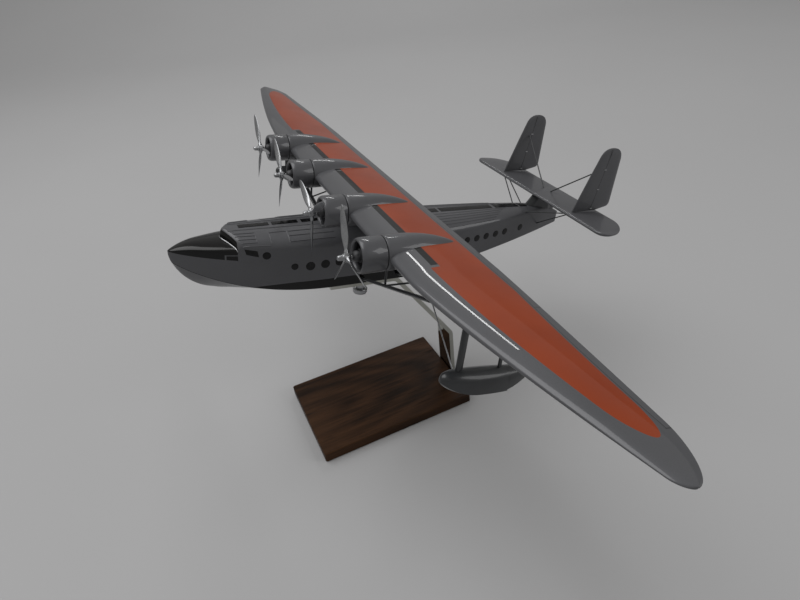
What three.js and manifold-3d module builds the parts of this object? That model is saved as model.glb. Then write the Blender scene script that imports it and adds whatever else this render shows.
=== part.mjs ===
// Desktop display model of a four-engined, high-wing flying boat, 1:72, on a walnut plate and a bent
// metal strip. Millimetres. World frame: +Z up, nose toward -Y, span along X, origin at the middle of the
// plate's underside.
// The aircraft is drawn in its own frame and then pitched nose-up: x across, y aft from the outer propellers,
// z up from the thrust line.

import * as THREE from "three";
import { mergeVertices } from "three/addons/utils/BufferGeometryUtils.js";
import Module from "manifold-3d";

const wasm = await Module();
wasm.setup();

// ---- Driving dimensions ----

const GAP = 0.3;

const PLATE = { width: 78, length: 116.5, thickness: 8, corner: 1, edge: 0.5 };
const STRIP = {
  width: 19,
  thickness: 3,
  foot: 0.6,
  bendHeight: 45.5,
  bendRadius: 7,
  kneeY: 66.6,
  kneeRadius: 5,
  frontY: 20.5,
};
const SCREW = { x: 5.5, height: 4, shank: 1.5, head: 3, headDepth: 1.8, slot: 0.7, depth: 9 };
const THUMBSCREW = { y: 44.9, stem: 1.9, rim: 4.9, thickness: 2.6, drop: 10.2, collar: 3, thread: 5.5 };
// How the aircraft sits: its nose-up angle, and where the frame of the aircraft stands above the plate.
const PITCH = THREE.MathUtils.degToRad(12.3);
const AIRCRAFT_ORIGIN = { y: -30.2, z: 183.9 };

const HULL = {
  nose: -73,
  tail: 199.5,
  halfBeam: 20.5,
  bowLength: 90,
  bowFullness: 0.73,
  taperStart: 70,
  taperPower: 1.8,
  keel: -60.2,
  keelSlope: 4.8,
  slopeStart: -20,
  slopeLength: 30,
  stemRise: 26.2,
  stemLength: 29.5,
  stemPower: 2.2,
  stemShape: 0.62,
  chine: -54.5,
  chineNoseRise: 19.7,
  chineNosePower: 2.6,
  chineLevel: 27,
  chineSternRise: 17.5,
  chineSternPower: 0.88,
  step: 75,
  stepRise: 2,
  deckNose: -28.6,
  deck: -23.5,
  deckCurve: 20,
  shoulderNose: -28.7,
  shoulderDeck: -26.8,
  shoulderCurve: 14,
  deckRear: -44,
  cabinFront: -36,
  roof: -17.9,
  roofFallStart: 20,
  roofFall: 3.4,
  tailFall: 7.4,
  roofShoulder: 0.45,
};

const WING = {
  halfSpan: 250,
  leadingEdge: 18.6,
  trailingEdge: 66.4,
  straightTo: 112,
  sweep: 21.5,
  rearTaper: 9.7,
  rootThickness: 8.4,
  tipThickness: 2.6,
  camber: 0.5,
  rise: 3.6,
  tipY: 44.5,
  frontTipRound: 7,
  rearTipRound: 26,
  sweepPower: 1.35,
  taperPower: 1.2,
  rearTipPower: 1.9,
};

const ENGINE_X = [-83.5, -30, 30, 83.5];
const COWL = { front: 5, rear: 17.75, radius: 8.9, mouth: 6.7, wall: 0.7 };
const NACELLE = { front: 18.25, widest: 24, tail: 60.5, radius: 8.9 };
const ENGINE = {
  front: 3,
  middle: 10,
  rear: 17.3,
  gearRadius: 2.8,
  caseRadius: 3.4,
  mountRadius: 5.4,
  cylinders: 9,
};
const FIREWALL = { radius: 8, thickness: 0.3, y: 17.9 };
const PROP = {
  radius: 24.7,
  blades: 3,
  hubRadius: 2,
  domeRadius: 1.45,
  domeLength: 5,
  rear: 1.8,
  bore: 0.9,
  boreDepth: 2.6,
};
const PIN = { radius: 0.82, length: 3.2 };
// Where each propeller has stopped: the angle of its first blade from straight up, towards +X.
const PROP_ANGLES = [-41, -44, -65, -23].map(THREE.MathUtils.degToRad);

// Strut ends run a little way into the hull and the wing, and are trimmed there.
const STRUT = {
  frontHull: [19, 37.3, -52],
  frontWing: [126, 21.2, -2],
  rearHull: [19, 62, -52],
  rearWing: [126, 46.6, -2],
  chord: 3.4,
  thickness: 1.5,
  juryAt: 0.43,
  juryRearAt: 0.5,
  juryChord: 1.4,
  juryThickness: 0.9,
};

const FLOAT = {
  x: 140,
  nose: 25,
  step: 61,
  tail: 81,
  ridge: -33.8,
  noseDrop: 5.6,
  slope: 0.15,
  depth: 14.6,
  halfBeam: 6,
  frontStrut: 34.6,
  rearStrut: 57.5,
  strutChord: 3.9,
  strutThickness: 1.8,
  rodWingX: 102.5,
  rodInset: 2.7,
  rodY: 31.5,
};

const PYLON = { front: 22.5, rear: 62, halfWidth: 8.5 };

const TAIL = {
  halfSpan: 75,
  tipY: 179,
  frontTipRound: 9,
  rearTipRound: 19,
  frontTipPower: 2.2,
  rearTipPower: 1.7,
  leadingEdge: 171,
  trailingEdge: 197.5,
  height: -12.2,
  thickness: 2.4,
  finX: 40,
  finTop: 31.5,
  finThickness: 2.2,
  finBevel: 0.5,
  pylonFront: 158.5,
  pylonRear: 196,
  pylonHalfWidth: 3.4,
};

// ---- Materials ----

const paint = (color, roughness = 0.3, metalness = 0) =>
  new THREE.MeshStandardMaterial({ color, roughness, metalness });
const silver = () => paint(0x74777b, 0.3, 0.6);
const orangeWing = () => paint(0xb4471d, 0.25, 0);
const darkGrey = () => paint(0x35383b, 0.4, 0.3);
const polished = () => paint(0xd8d8d4, 0.08, 1);
const walnut = () => paint(0x3c281c, 0.45, 0);
const engineBlack = () => paint(0x1c1d1f, 0.5, 0.4);

// ---- Solids ----

const world = new THREE.Group();
const aircraft = new THREE.Group();
aircraft.position.set(0, AIRCRAFT_ORIGIN.y, AIRCRAFT_ORIGIN.z);
aircraft.rotation.x = -PITCH;
world.add(aircraft);
world.updateMatrixWorld(true);

function place(parent, name, geometry, material) {
  const mesh = new THREE.Mesh(geometry, material);
  mesh.name = name;
  parent.add(mesh);
  return mesh;
}

function solid(geometry) {
  const bare = geometry.clone();
  bare.deleteAttribute("normal");
  bare.deleteAttribute("uv");
  const merged = mergeVertices(bare, 1e-4);
  const vertProperties = merged.attributes.position.array;
  const triVerts = new Uint32Array(merged.index.array);
  return new wasm.Manifold(new wasm.Mesh({ numProp: 3, vertProperties, triVerts }));
}

function geometryOf(body) {
  const mesh = body.getMesh();
  const geometry = new THREE.BufferGeometry();
  geometry.setAttribute("position", new THREE.BufferAttribute(mesh.vertProperties, 3));
  geometry.setIndex(new THREE.BufferAttribute(mesh.triVerts, 1));
  geometry.computeVertexNormals();
  return geometry;
}

const cut = (geometry, ...tools) =>
  geometryOf(tools.reduce((rest, tool) => rest.subtract(tool), solid(geometry)));
const joined = (...geometries) => geometryOf(geometries.map(solid).reduce((all, next) => all.add(next)));
const cylinder = (radius, length, segments = 12) =>
  new THREE.CylinderGeometry(radius, radius, length, segments);

// A closed skin through rings of equally many points, each ring running the same way round.
function loft(rings) {
  const count = rings[0].length;
  const points = rings.flat();
  const faces = [];
  for (let i = 0; i < rings.length - 1; i += 1) {
    for (let j = 0; j < count; j += 1) {
      const next = (j + 1) % count;
      const a = i * count + j;
      const b = i * count + next;
      faces.push(a, b, a + count, b, b + count, a + count);
    }
  }
  const last = (rings.length - 1) * count;
  for (let j = 1; j < count - 1; j += 1) {
    faces.push(0, j + 1, j);
    faces.push(last, last + j, last + j + 1);
  }
  const geometry = new THREE.BufferGeometry().setFromPoints(points);
  geometry.setIndex(faces);
  geometry.computeVertexNormals();
  return geometry;
}

// A lathe body whose axis is the aircraft's y axis: profile points are [radius, y].
function turned(profile, segments) {
  const points = profile.map(([radius, y]) => new THREE.Vector2(radius, y));
  return new THREE.LatheGeometry(points, segments);
}

// A bar of flattened oval section from one point to another, its broad side along the aircraft's y axis.
function bar(from, to, chord, thickness, segments = 8) {
  const start = new THREE.Vector3(...from);
  const end = new THREE.Vector3(...to);
  const axis = end.clone().sub(start).normalize();
  const aft = new THREE.Vector3(0, 1, 0);
  if (Math.abs(axis.y) > 0.9) aft.set(1, 0, 0);
  aft.addScaledVector(axis, -aft.dot(axis)).normalize();
  const side = new THREE.Vector3().crossVectors(axis, aft);
  const ring = (centre) =>
    Array.from({ length: segments }, (_, i) => {
      const turn = (2 * Math.PI * i) / segments;
      return centre
        .clone()
        .addScaledVector(aft, (Math.cos(turn) * chord) / 2)
        .addScaledVector(side, (Math.sin(turn) * thickness) / 2);
    });
  return loft([ring(start), ring(end)]);
}

// Turns an outline drawn as (y, z) and extruded into a body that stands along x.
const SIDE_VIEW = new THREE.Matrix4().set(0, 0, 1, 0, 1, 0, 0, 0, 0, 1, 0, 0, 0, 0, 0, 1);

const mirrored = ([x, y, z], sign) => [x * sign, y, z];
const shifted = ([x, y, z], dy, dz) => [x, y + dy, z + dz];
const between = (a, b, t) => a.map((value, i) => value + (b[i] - value) * t);
const clamp01 = (value) => Math.min(Math.max(value, 0), 1);
// A superellipse's quarter: 1 where its turn is 0, and 0 where it is 1.
const rounding = (turn, power) => (1 - turn ** power) ** (1 / power);
const smooth = (value) => clamp01(value) ** 2 * (3 - 2 * clamp01(value));

// ---- Hull ----

// Half the hull's breadth at a station.
function hullHalfBeam(y) {
  const bow = clamp01((y - HULL.nose) / HULL.bowLength);
  const stern = clamp01((y - HULL.taperStart) / (HULL.tail + 1.5 - HULL.taperStart));
  const narrowing = 1 - stern ** HULL.taperPower;
  return HULL.halfBeam * (1 - (1 - bow) ** 2) ** HULL.bowFullness * narrowing;
}

function hullKeel(y) {
  if (y > HULL.step) {
    const rise = (HULL.tail - y) / (HULL.tail - HULL.step);
    return hullChine(y) - (HULL.chine - HULL.keel - HULL.stepRise) * rise;
  }
  const stem = clamp01((HULL.nose + HULL.stemLength - y) / HULL.stemLength);
  const slope = clamp01((HULL.slopeStart - y) / HULL.slopeLength);
  const curve = 1 - (1 - stem ** HULL.stemPower) ** HULL.stemShape;
  return HULL.keel + HULL.keelSlope * slope + HULL.stemRise * curve;
}

function hullChine(y) {
  const bow = clamp01((y - HULL.nose) / (HULL.chineLevel - HULL.nose));
  const stern = clamp01((y - HULL.step) / (HULL.tail - HULL.step));
  const noseRise = HULL.chineNoseRise * (1 - bow) ** HULL.chineNosePower;
  return HULL.chine + noseRise + HULL.chineSternRise * stern ** HULL.chineSternPower;
}

// How far a station lies from the open bow deck, 0, to the full height of the cabin, 1.
const cabinShare = (y) => smooth((y - HULL.deckRear) / (HULL.cabinFront - HULL.deckRear));

// Heights of the top of the hull on the centreline and of the edge of its flat side.
function deckHeights(y) {
  const nose = 1 - clamp01((y - HULL.nose) / HULL.deckCurve);
  const edge = 1 - clamp01((y - HULL.nose) / HULL.shoulderCurve);
  const top = HULL.deck + (HULL.deckNose - HULL.deck) * nose ** 2;
  return [top, HULL.shoulderDeck + (HULL.shoulderNose - HULL.shoulderDeck) * edge ** 1.6];
}

function roofHeights(y) {
  const aft = clamp01((y - HULL.roofFallStart) / (HULL.tail - HULL.roofFallStart));
  const top = HULL.roof - HULL.roofFall * aft ** 1.3 - HULL.tailFall * aft ** 14;
  return [top, top - HULL.roofShoulder * hullHalfBeam(y)];
}

function hullTop(y) {
  return between(deckHeights(y), roofHeights(y), cabinShare(y))[0];
}

// The height at which the flat side turns into the rounded top.
function hullShoulder(y) {
  return between(deckHeights(y), roofHeights(y), cabinShare(y))[1];
}

function hullRing(y, archSteps) {
  const half = hullHalfBeam(y);
  const top = hullTop(y);
  const shoulder = hullShoulder(y);
  const right = [[half, Math.max(hullChine(y), hullKeel(y) + 0.05)]];
  for (let i = 0; i < archSteps; i += 1) {
    const turn = (Math.PI / 2) * (i / archSteps);
    right.push([half * Math.cos(turn), shoulder + (top - shoulder) * Math.sin(turn)]);
  }
  const left = right.map(([x, z]) => [-x, z]).reverse();
  const outline = [[0, hullKeel(y)], ...right, [0, top], ...left];
  return outline.map(([x, z]) => new THREE.Vector3(x, y, z)).reverse();
}

function hullStations() {
  const bow = [0.12, 0.6, 2, 4.5, 8, 12, 17, 22, 28].map((d) => HULL.nose + d);
  const cabin = [HULL.deckRear + 1, HULL.deckRear + 4, HULL.cabinFront];
  const body = [-26, -12, 0, 15, 35, 55, 70];
  const step = [HULL.step, HULL.step + 0.4];
  const stern = [90, 105, 120, 135, 150, 165, 178, 190, HULL.tail];
  return [...bow, ...cabin, ...body, ...step, ...stern];
}

const plainHull = () => loft(hullStations().map((y) => hullRing(y, 5)));

// The dark fairing between the hull and the wing, before it is trimmed to them.
function pylonBlock() {
  const section = (y, half) => {
    const low = hullTop(y) - 4;
    return [
      new THREE.Vector3(half, y, low),
      new THREE.Vector3(-half, y, low),
      new THREE.Vector3(-half, y, 0),
      new THREE.Vector3(half, y, 0),
    ];
  };
  const { front, rear, halfWidth } = PYLON;
  return loft([
    section(front, 2),
    section(front + 4, halfWidth),
    section(rear - 9, halfWidth),
    section(rear, 2),
  ]);
}

// ---- Wing ----

// How far out a station lies, from where the taper starts, 0, to the wing tip, 1.
const wingOut = (x) => clamp01((Math.abs(x) - WING.straightTo) / (WING.halfSpan - WING.straightTo));

// Leading and trailing edge; the tip is rounded mostly from behind.
function wingChord(x) {
  const out = wingOut(x);
  const front = WING.leadingEdge + WING.sweep * out ** WING.sweepPower;
  const back = WING.trailingEdge - WING.rearTaper * out ** WING.taperPower;
  const left = WING.halfSpan - Math.abs(x);
  const nose = clamp01(1 - left / WING.frontTipRound);
  const tail = clamp01(1 - left / WING.rearTipRound);
  const frontKeep = Math.sqrt(1 - nose ** 2);
  const backKeep = rounding(tail, WING.rearTipPower);
  const { tipY } = WING;
  return [tipY - (tipY - front) * frontKeep, tipY + (back - tipY) * backKeep];
}

function wingThickness(x) {
  const out = clamp01((Math.abs(x) - 90) / (WING.halfSpan - 90));
  const [front, back] = wingChord(x);
  const full = WING.trailingEdge - WING.leadingEdge;
  const taper = WING.rootThickness + (WING.tipThickness - WING.rootThickness) * out ** WING.taperPower;
  return taper * Math.min(1, (0.25 + (back - front) / full) / 0.8);
}

// Half thickness of the section at a share of the chord, as a share of the full thickness.
function sectionHalf(c) {
  const polynomial = 0.2969 * Math.sqrt(c) - 0.126 * c - 0.3516 * c ** 2 + 0.2843 * c ** 3 - 0.1 * c ** 4;
  return 5 * polynomial;
}

function wingRing(x) {
  const [front, back] = wingChord(x);
  const thick = wingThickness(x);
  const middle = WING.rise * wingOut(x) ** WING.taperPower;
  const point = (c, side) => {
    const camber = 4 * WING.camber * c * (1 - c);
    const half = Math.max(sectionHalf(c) * thick, 0.12) * side;
    return new THREE.Vector3(x, front + (back - front) * c, middle + camber + half);
  };
  const shares = [0.035, 0.12, 0.3, 0.55, 0.8, 1];
  const upper = shares.map((c) => point(c, 1));
  const lower = shares.map((c) => point(c, -1)).reverse();
  const noseUp = point(0.006, 1);
  return [noseUp, ...upper, ...lower].reverse();
}

function wingStations() {
  const half = [0, 60, 112, 132, 152, 172, 192, 210, 224, 234, 241, 246, 249, 249.6];
  return [...half.slice(1).map((x) => -x).reverse(), ...half];
}

const plainWing = () => loft(wingStations().map(wingRing));

// ---- Engines ----

function nacelleRadius(y) {
  const aft = clamp01((y - NACELLE.widest) / (NACELLE.tail - NACELLE.widest));
  return NACELLE.radius * (1 - aft ** 2) ** 0.75;
}

// The fairing behind one engine; a larger one, grown by the gap, cuts the wing to fit round it.
function nacelle(extra = 0) {
  const { front, tail } = NACELLE;
  const shares = [0, 0.16, 0.32, 0.48, 0.62, 0.75, 0.86, 0.94];
  const side = shares.map((share) => {
    const y = front + (tail - front) * share;
    return [nacelleRadius(y) + extra, share === 0 ? y - extra : y];
  });
  return turned([[0, front - extra], ...side, [0, tail + 4 * extra]], 20);
}

function cowling() {
  const { front, rear, radius, mouth, wall } = COWL;
  const lip = radius - mouth;
  return turned([
    [mouth, front + 1.2],
    [mouth + 0.2 * lip, front + 0.3],
    [mouth + 0.5 * lip, front],
    [radius - 0.2 * lip, front + 0.7],
    [radius, front + 2.6],
    [radius, rear],
    [radius - wall, rear],
    [radius - wall, front + 2.8],
    [mouth + 0.4 * lip, front + 1.7],
    [mouth, front + 1.2],
  ], 24);
}

// Gearcase, crankcase and a ring of cylinders.
function radialEngine() {
  const { front, middle, rear, gearRadius, caseRadius, mountRadius, cylinders } = ENGINE;
  const core = turned([
    [0, front],
    [0.6 * gearRadius, front],
    [gearRadius, front + 1.2],
    [gearRadius, middle - 4.6],
    [caseRadius, middle - 4],
    [caseRadius, middle + 2.4],
    [mountRadius, middle + 2.8],
    [mountRadius, rear],
    [0, rear],
  ], 12);
  const pots = Array.from({ length: cylinders }, (_, i) => {
    const turn = (2 * Math.PI * i) / cylinders;
    const pot = cylinder(1.15, 4.4, 6);
    pot.translate(0, 5.2, 0);
    pot.rotateX(Math.PI / 2);
    pot.rotateY(turn);
    return pot.translate(0, middle, 0);
  });
  return joined(core, ...pots);
}

// One blade along +z, its chord and twist changing along the span.
function blade() {
  const shares = [0.05, 0.2, 0.45, 0.7, 0.88, 0.97, 1];
  const ring = (share) => {
    const tip = clamp01((share - 0.5) / 0.5);
    const chord = (1.3 + 2.6 * smooth((share - 0.05) / 0.4)) * Math.sqrt(1.02 - tip ** 2.4);
    const thick = 1.2 - 0.8 * share;
    const twist = THREE.MathUtils.degToRad(52 - 34 * share);
    return Array.from({ length: 6 }, (_, i) => {
      const turn = (Math.PI / 3) * i;
      const across = (Math.cos(turn) * chord) / 2;
      const deep = (Math.sin(turn) * thick) / 2;
      const x = across * Math.cos(twist) - deep * Math.sin(twist);
      const y = across * Math.sin(twist) + deep * Math.cos(twist);
      return new THREE.Vector3(x, y, share * PROP.radius);
    });
  };
  return loft(shares.map(ring));
}

function propeller() {
  const { hubRadius, domeRadius, domeLength, rear, bore, boreDepth, blades } = PROP;
  const hub = turned([
    [0, -domeLength],
    [0.75 * domeRadius, -domeLength],
    [domeRadius, -domeLength + 0.5],
    [domeRadius, -hubRadius],
    [hubRadius, -hubRadius + 0.3],
    [hubRadius, rear - 0.3],
    [domeRadius, rear],
    [0, rear],
  ], 16);
  const all = Array.from({ length: blades }, (_, i) => blade().rotateY((2 * Math.PI * i) / blades));
  const hole = cylinder(bore, 2 * boreDepth, 24).translate(0, rear, 0);
  return cut(joined(hub, ...all), solid(hole));
}

function engineUnit(index) {
  const unit = new THREE.Group();
  unit.position.x = ENGINE_X[index];
  aircraft.add(unit);
  const number = index + 1;
  place(unit, `cowling_${number}`, cowling(), silver());
  place(unit, `radial_engine_${number}`, radialEngine(), engineBlack());
  const plate = cylinder(FIREWALL.radius, FIREWALL.thickness, 20);
  place(unit, `firewall_${number}`, plate, engineBlack()).position.y = FIREWALL.y;
  place(unit, `nacelle_${number}`, nacelle(), silver());
  const pin = place(unit, `propeller_pin_${number}`, cylinder(PIN.radius, PIN.length, 24), polished());
  pin.position.y = ENGINE.front - GAP - PIN.length / 2;
  const blades = place(unit, `propeller_${number}`, propeller(), silver());
  blades.rotation.y = PROP_ANGLES[index];
}

// ---- Floats and struts ----

function floatBody() {
  const { nose, tail, step, ridge, noseDrop, slope, depth, halfBeam } = FLOAT;
  const ring = (share) => {
    const y = nose + (tail - nose) * share;
    const bow = Math.sqrt(1 - (1 - clamp01(share / 0.35)) ** 2);
    const stern = clamp01((y - step) / (tail - step));
    const half = Math.max(halfBeam * bow * (1 - clamp01((share - 0.4) / 0.6) ** 2.2), 0.4);
    const top = ridge - noseDrop * (1 - bow) ** 2 - slope * (y - 37);
    const deep = depth * bow * (1 - 0.9 * stern ** 1.3) - (y > step ? 1 : 0);
    const right = [
      [half, top - 0.75 * deep],
      [0.92 * half, top - 0.28 * deep],
      [0.55 * half, top - 0.08 * deep],
    ];
    const left = right.map(([x, z]) => [-x, z]).reverse();
    const outline = [[0, top - deep], ...right, [0, top], ...left];
    return outline.map(([x, z]) => new THREE.Vector3(x, y, z)).reverse();
  };
  return loft([0.003, 0.03, 0.09, 0.18, 0.32, 0.48, 0.636, 0.65, 0.8, 0.92, 1].map(ring));
}

function mainStruts(side, label, keepOut) {
  const s = STRUT;
  const strut = (name, from, to, chord, thickness) => {
    const shape = bar(mirrored(from, side), mirrored(to, side), chord, thickness);
    place(aircraft, `${name}_${label}`, cut(shape, ...keepOut), darkGrey());
  };
  strut("main_strut_front", s.frontHull, s.frontWing, s.chord, s.thickness);
  strut("main_strut_rear", s.rearHull, s.rearWing, s.chord, s.thickness);
  const knot = between(s.frontHull, s.frontWing, s.juryAt);
  const rearKnot = between(s.rearHull, s.rearWing, s.juryRearAt);
  const clear = s.chord / 2 + GAP + s.juryChord / 4;
  const foot = shifted(knot, 0, s.thickness / 2 + GAP + 0.25);
  strut("jury_strut_upright", foot, [knot[0], knot[1], -2], s.juryChord, s.juryThickness);
  const ends = [shifted(knot, clear, 0), shifted(rearKnot, -clear, 0)];
  strut("jury_strut_cross", ...ends, s.juryChord, s.juryThickness);
}

function wingFloat(side, label, wingKeepOut) {
  const f = FLOAT;
  const x = f.x * side;
  const body = floatBody().translate(x, 0, 0);
  const keepOut = [solid(body).translate([0, 0, GAP]), wingKeepOut];
  const low = f.ridge - 1;
  const front = [x, f.frontStrut, low];
  const rear = [x, f.rearStrut, low - f.slope * (f.rearStrut - f.frontStrut)];
  const strut = (name, from, to, chord, thickness, material) =>
    place(aircraft, `${name}_${label}`, cut(bar(from, to, chord, thickness), ...keepOut), material);
  place(aircraft, `wing_float_${label}`, body, darkGrey());
  strut("float_strut_front", front, [x, f.frontStrut, 0], f.strutChord, f.strutThickness, darkGrey());
  strut("float_strut_rear", rear, [x, f.rearStrut, 0], 2.2, 1.2, darkGrey());
  const rodFoot = [x - f.rodInset * side, f.rodY + 1.6, low - 0.4];
  strut("float_bracing_rod", rodFoot, [f.rodWingX * side, f.rodY, -2], 0.9, 0.9, polished());
}

// ---- Tail ----

function tailplane() {
  const { halfSpan, tipY, leadingEdge, trailingEdge, height, thickness } = TAIL;
  const section = [[-1, 0], [-0.85, 0.75], [-0.35, 1], [0.35, 0.8], [1, 0.12]];
  const under = [[1, -0.12], [0.35, -0.8], [-0.35, -1], [-0.85, -0.75]];
  const ring = (x) => {
    const left = halfSpan - Math.abs(x);
    const nose = clamp01(1 - left / TAIL.frontTipRound);
    const rear = clamp01(1 - left / TAIL.rearTipRound);
    const front = tipY - (tipY - leadingEdge) * rounding(nose, TAIL.frontTipPower);
    const back = tipY + (trailingEdge - tipY) * rounding(rear, TAIL.rearTipPower);
    const middle = (front + back) / 2;
    const half = (back - front) / 2;
    const thick = (thickness / 2) * Math.min(1, 0.16 + half / 10);
    const outline = [...section, ...under].reverse();
    return outline.map(([c, t]) => new THREE.Vector3(x, middle + half * c, height + thick * t));
  };
  const right = [56, 61, 66, 70, 73, 74.5, halfSpan - 0.05];
  const left = right.map((x) => -x).reverse();
  return loft([...left, 0, ...right].map(ring));
}

// Fin and rudder in one: slanted front, rounded top, lower rear corner cut up. Drawn as (y, z).
function finOutline() {
  const { height, thickness, finTop } = TAIL;
  const base = height + thickness / 2 + GAP;
  const outline = new THREE.Shape();
  outline.moveTo(175, base);
  outline.lineTo(187.4, finTop - 6);
  outline.quadraticCurveTo(189.4, finTop, 196.2, finTop);
  outline.quadraticCurveTo(204.2, finTop, 204.9, finTop - 7);
  outline.lineTo(205.9, -5.5);
  outline.quadraticCurveTo(205.9, -8.2, 203.5, -8.8);
  outline.lineTo(194.5, base);
  outline.closePath();
  return outline;
}

function fin() {
  const flat = TAIL.finThickness - 2 * TAIL.finBevel;
  const geometry = new THREE.ExtrudeGeometry(finOutline(), {
    depth: flat,
    bevelThickness: TAIL.finBevel,
    bevelSize: TAIL.finBevel,
    bevelOffset: -TAIL.finBevel,
    bevelSegments: 1,
    curveSegments: 5,
  });
  return geometry.translate(0, 0, -flat / 2).applyMatrix4(SIDE_VIEW);
}

function tailPylon(hullKeepOut, tailKeepOut) {
  const { pylonFront, pylonRear, pylonHalfWidth, height } = TAIL;
  const section = (lean, y, half) => [
    new THREE.Vector3(half, y, -34),
    new THREE.Vector3(-half, y, -34),
    new THREE.Vector3(-half, y + lean, height),
    new THREE.Vector3(half, y + lean, height),
  ];
  const post = loft([
    section(17, pylonFront, 0.6),
    section(15, pylonFront + 6, pylonHalfWidth),
    section(-2, pylonRear - 8, pylonHalfWidth),
    section(-4, pylonRear, 0.6),
  ]);
  return cut(post, hullKeepOut, tailKeepOut);
}

function tailBraces(side, label, keepOut) {
  const { finX, height, leadingEdge } = TAIL;
  const rod = (name, from, to) => {
    const shape = bar(from, to, 0.9, 0.9, 6);
    place(aircraft, `${name}_${label}`, cut(shape, ...keepOut), darkGrey());
  };
  const outer = (finX - 3) * side;
  rod("fin_brace", [4 * side, 185.6, height], [finX * side, 191.6, 17]);
  const inner = [0.5 * hullHalfBeam(162) * side, 162, hullTop(162) - 2];
  rod("tailplane_brace_front", inner, [outer, leadingEdge + 2.5, height]);
  rod("tailplane_brace_rear", [0.6 * hullHalfBeam(178) * side, 178, -36], [outer, leadingEdge + 6, height]);
}

// ---- Stand ----

// A cylinder lying along y, for screws and the holes they go in.
const alongY = (radius, from, to, x, z) => cylinder(radius, to - from).translate(x, (from + to) / 2, z);

function basePlate() {
  const { width, length, thickness, corner, edge } = PLATE;
  const w = width / 2 - edge - corner;
  const l = length / 2 - edge - corner;
  const outline = new THREE.Shape();
  outline.absarc(w, -l, corner, -Math.PI / 2, 0);
  outline.absarc(w, l, corner, 0, Math.PI / 2);
  outline.absarc(-w, l, corner, Math.PI / 2, Math.PI);
  outline.absarc(-w, -l, corner, Math.PI, 1.5 * Math.PI);
  outline.closePath();
  const plate = new THREE.ExtrudeGeometry(outline, {
    depth: thickness - 2 * edge,
    bevelThickness: edge,
    bevelSize: edge,
    bevelSegments: 1,
    curveSegments: 4,
  });
  plate.translate(0, 0, edge);
  return cut(plate, ...screwHoles(length / 2 - SCREW.depth, length));
}

const screwHoles = (from, to) =>
  [-SCREW.x, SCREW.x].map((x) => solid(alongY(SCREW.shank + GAP, from, to, x, SCREW.height)));

// A point of the aircraft's middle plane, as (y, z) above the plate.
function abovePlate(y, z) {
  const point = new THREE.Vector3(0, y, z).applyMatrix4(aircraft.matrixWorld);
  return new THREE.Vector2(point.y, point.z);
}

// The strip's centreline in side view: up behind the plate, slanting forward, then along the keel.
function stripPath() {
  const y = PLATE.length / 2 + GAP + STRIP.thickness / 2;
  const drop = HULL.keel - GAP - STRIP.thickness / 2;
  const foot = new THREE.Vector2(y, STRIP.foot);
  const bend = new THREE.Vector2(y, STRIP.bendHeight);
  const knee = abovePlate(STRIP.kneeY, drop);
  const front = abovePlate(STRIP.frontY, drop);
  const lowerBend = rounded(foot, bend, knee, STRIP.bendRadius);
  const upperBend = rounded(bend, knee, front, STRIP.kneeRadius);
  return [foot, ...lowerBend, ...upperBend, front];
}

// The points of a curve that takes the corner off a bend.
function rounded(before, corner, after, radius) {
  const back = before.clone().sub(corner).normalize();
  const on = after.clone().sub(corner).normalize();
  const reach = radius / Math.tan(back.angleTo(on) / 2);
  const start = corner.clone().addScaledVector(back, reach);
  const end = corner.clone().addScaledVector(on, reach);
  return new THREE.QuadraticBezierCurve(start, corner, end).getPoints(6);
}

function standStrip() {
  const path = stripPath();
  const half = STRIP.thickness / 2;
  const edge = (sign) =>
    path.map((point, i) => {
      const ahead = path[Math.min(i + 1, path.length - 1)];
      const along = ahead.clone().sub(path[Math.max(i - 1, 0)]).normalize();
      return new THREE.Vector2(point.x - along.y * half * sign, point.y + along.x * half * sign);
    });
  const outline = new THREE.Shape([...edge(-1), ...edge(1).reverse()]);
  const strip = new THREE.ExtrudeGeometry(outline, { depth: STRIP.width, bevelEnabled: false });
  strip.translate(0, 0, -STRIP.width / 2).applyMatrix4(SIDE_VIEW);
  const stemHole = stemCylinder(THUMBSCREW.stem + GAP).applyMatrix4(aircraft.matrixWorld);
  return cut(strip, solid(stemHole), ...screwHoles(PLATE.length / 2 - 1, PLATE.length));
}

// A slotted screw along y, its head behind the strip.
function stripScrew() {
  const { shank, head, headDepth, slot, depth } = SCREW;
  const back = PLATE.length / 2 + STRIP.thickness + 2 * GAP;
  const screw = turned([
    [0, PLATE.length / 2 - depth + 0.5],
    [shank, PLATE.length / 2 - depth + 1.5],
    [shank, back],
    [head, back],
    [head, back + 0.5 * headDepth],
    [0.7 * head, back + headDepth],
    [0, back + headDepth],
  ], 14);
  const groove = new THREE.BoxGeometry(3 * head, headDepth, slot).translate(0, back + 1.1 * headDepth, 0);
  return cut(screw, solid(groove));
}

// The stem of the thumbscrew runs up from under the strip into the hull's keel.
function stemCylinder(radius) {
  const { y, drop, thread } = THUMBSCREW;
  const stem = cylinder(radius, drop + thread).rotateX(Math.PI / 2);
  return stem.translate(0, y, HULL.keel + (thread - drop) / 2);
}

function thumbscrew() {
  const { y, stem, rim, thickness, drop, collar, thread } = THUMBSCREW;
  const face = HULL.keel - drop;
  const profile = [
    [0, -thickness],
    [0.55 * rim, -thickness],
    [0.7 * rim, -thickness - 0.7],
    [0.95 * rim, -thickness - 0.7],
    [rim, -thickness],
    [rim, -0.4],
    [0.93 * rim, 0],
    [collar, 0],
    [collar, drop - STRIP.thickness - 2 * GAP],
    [stem, drop - STRIP.thickness - 2 * GAP],
    [stem, drop + thread - GAP],
    [0, drop + thread - GAP],
  ];
  return turned(profile, 24).rotateX(Math.PI / 2).translate(0, y, face);
}

// ---- Assembly ----

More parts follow.
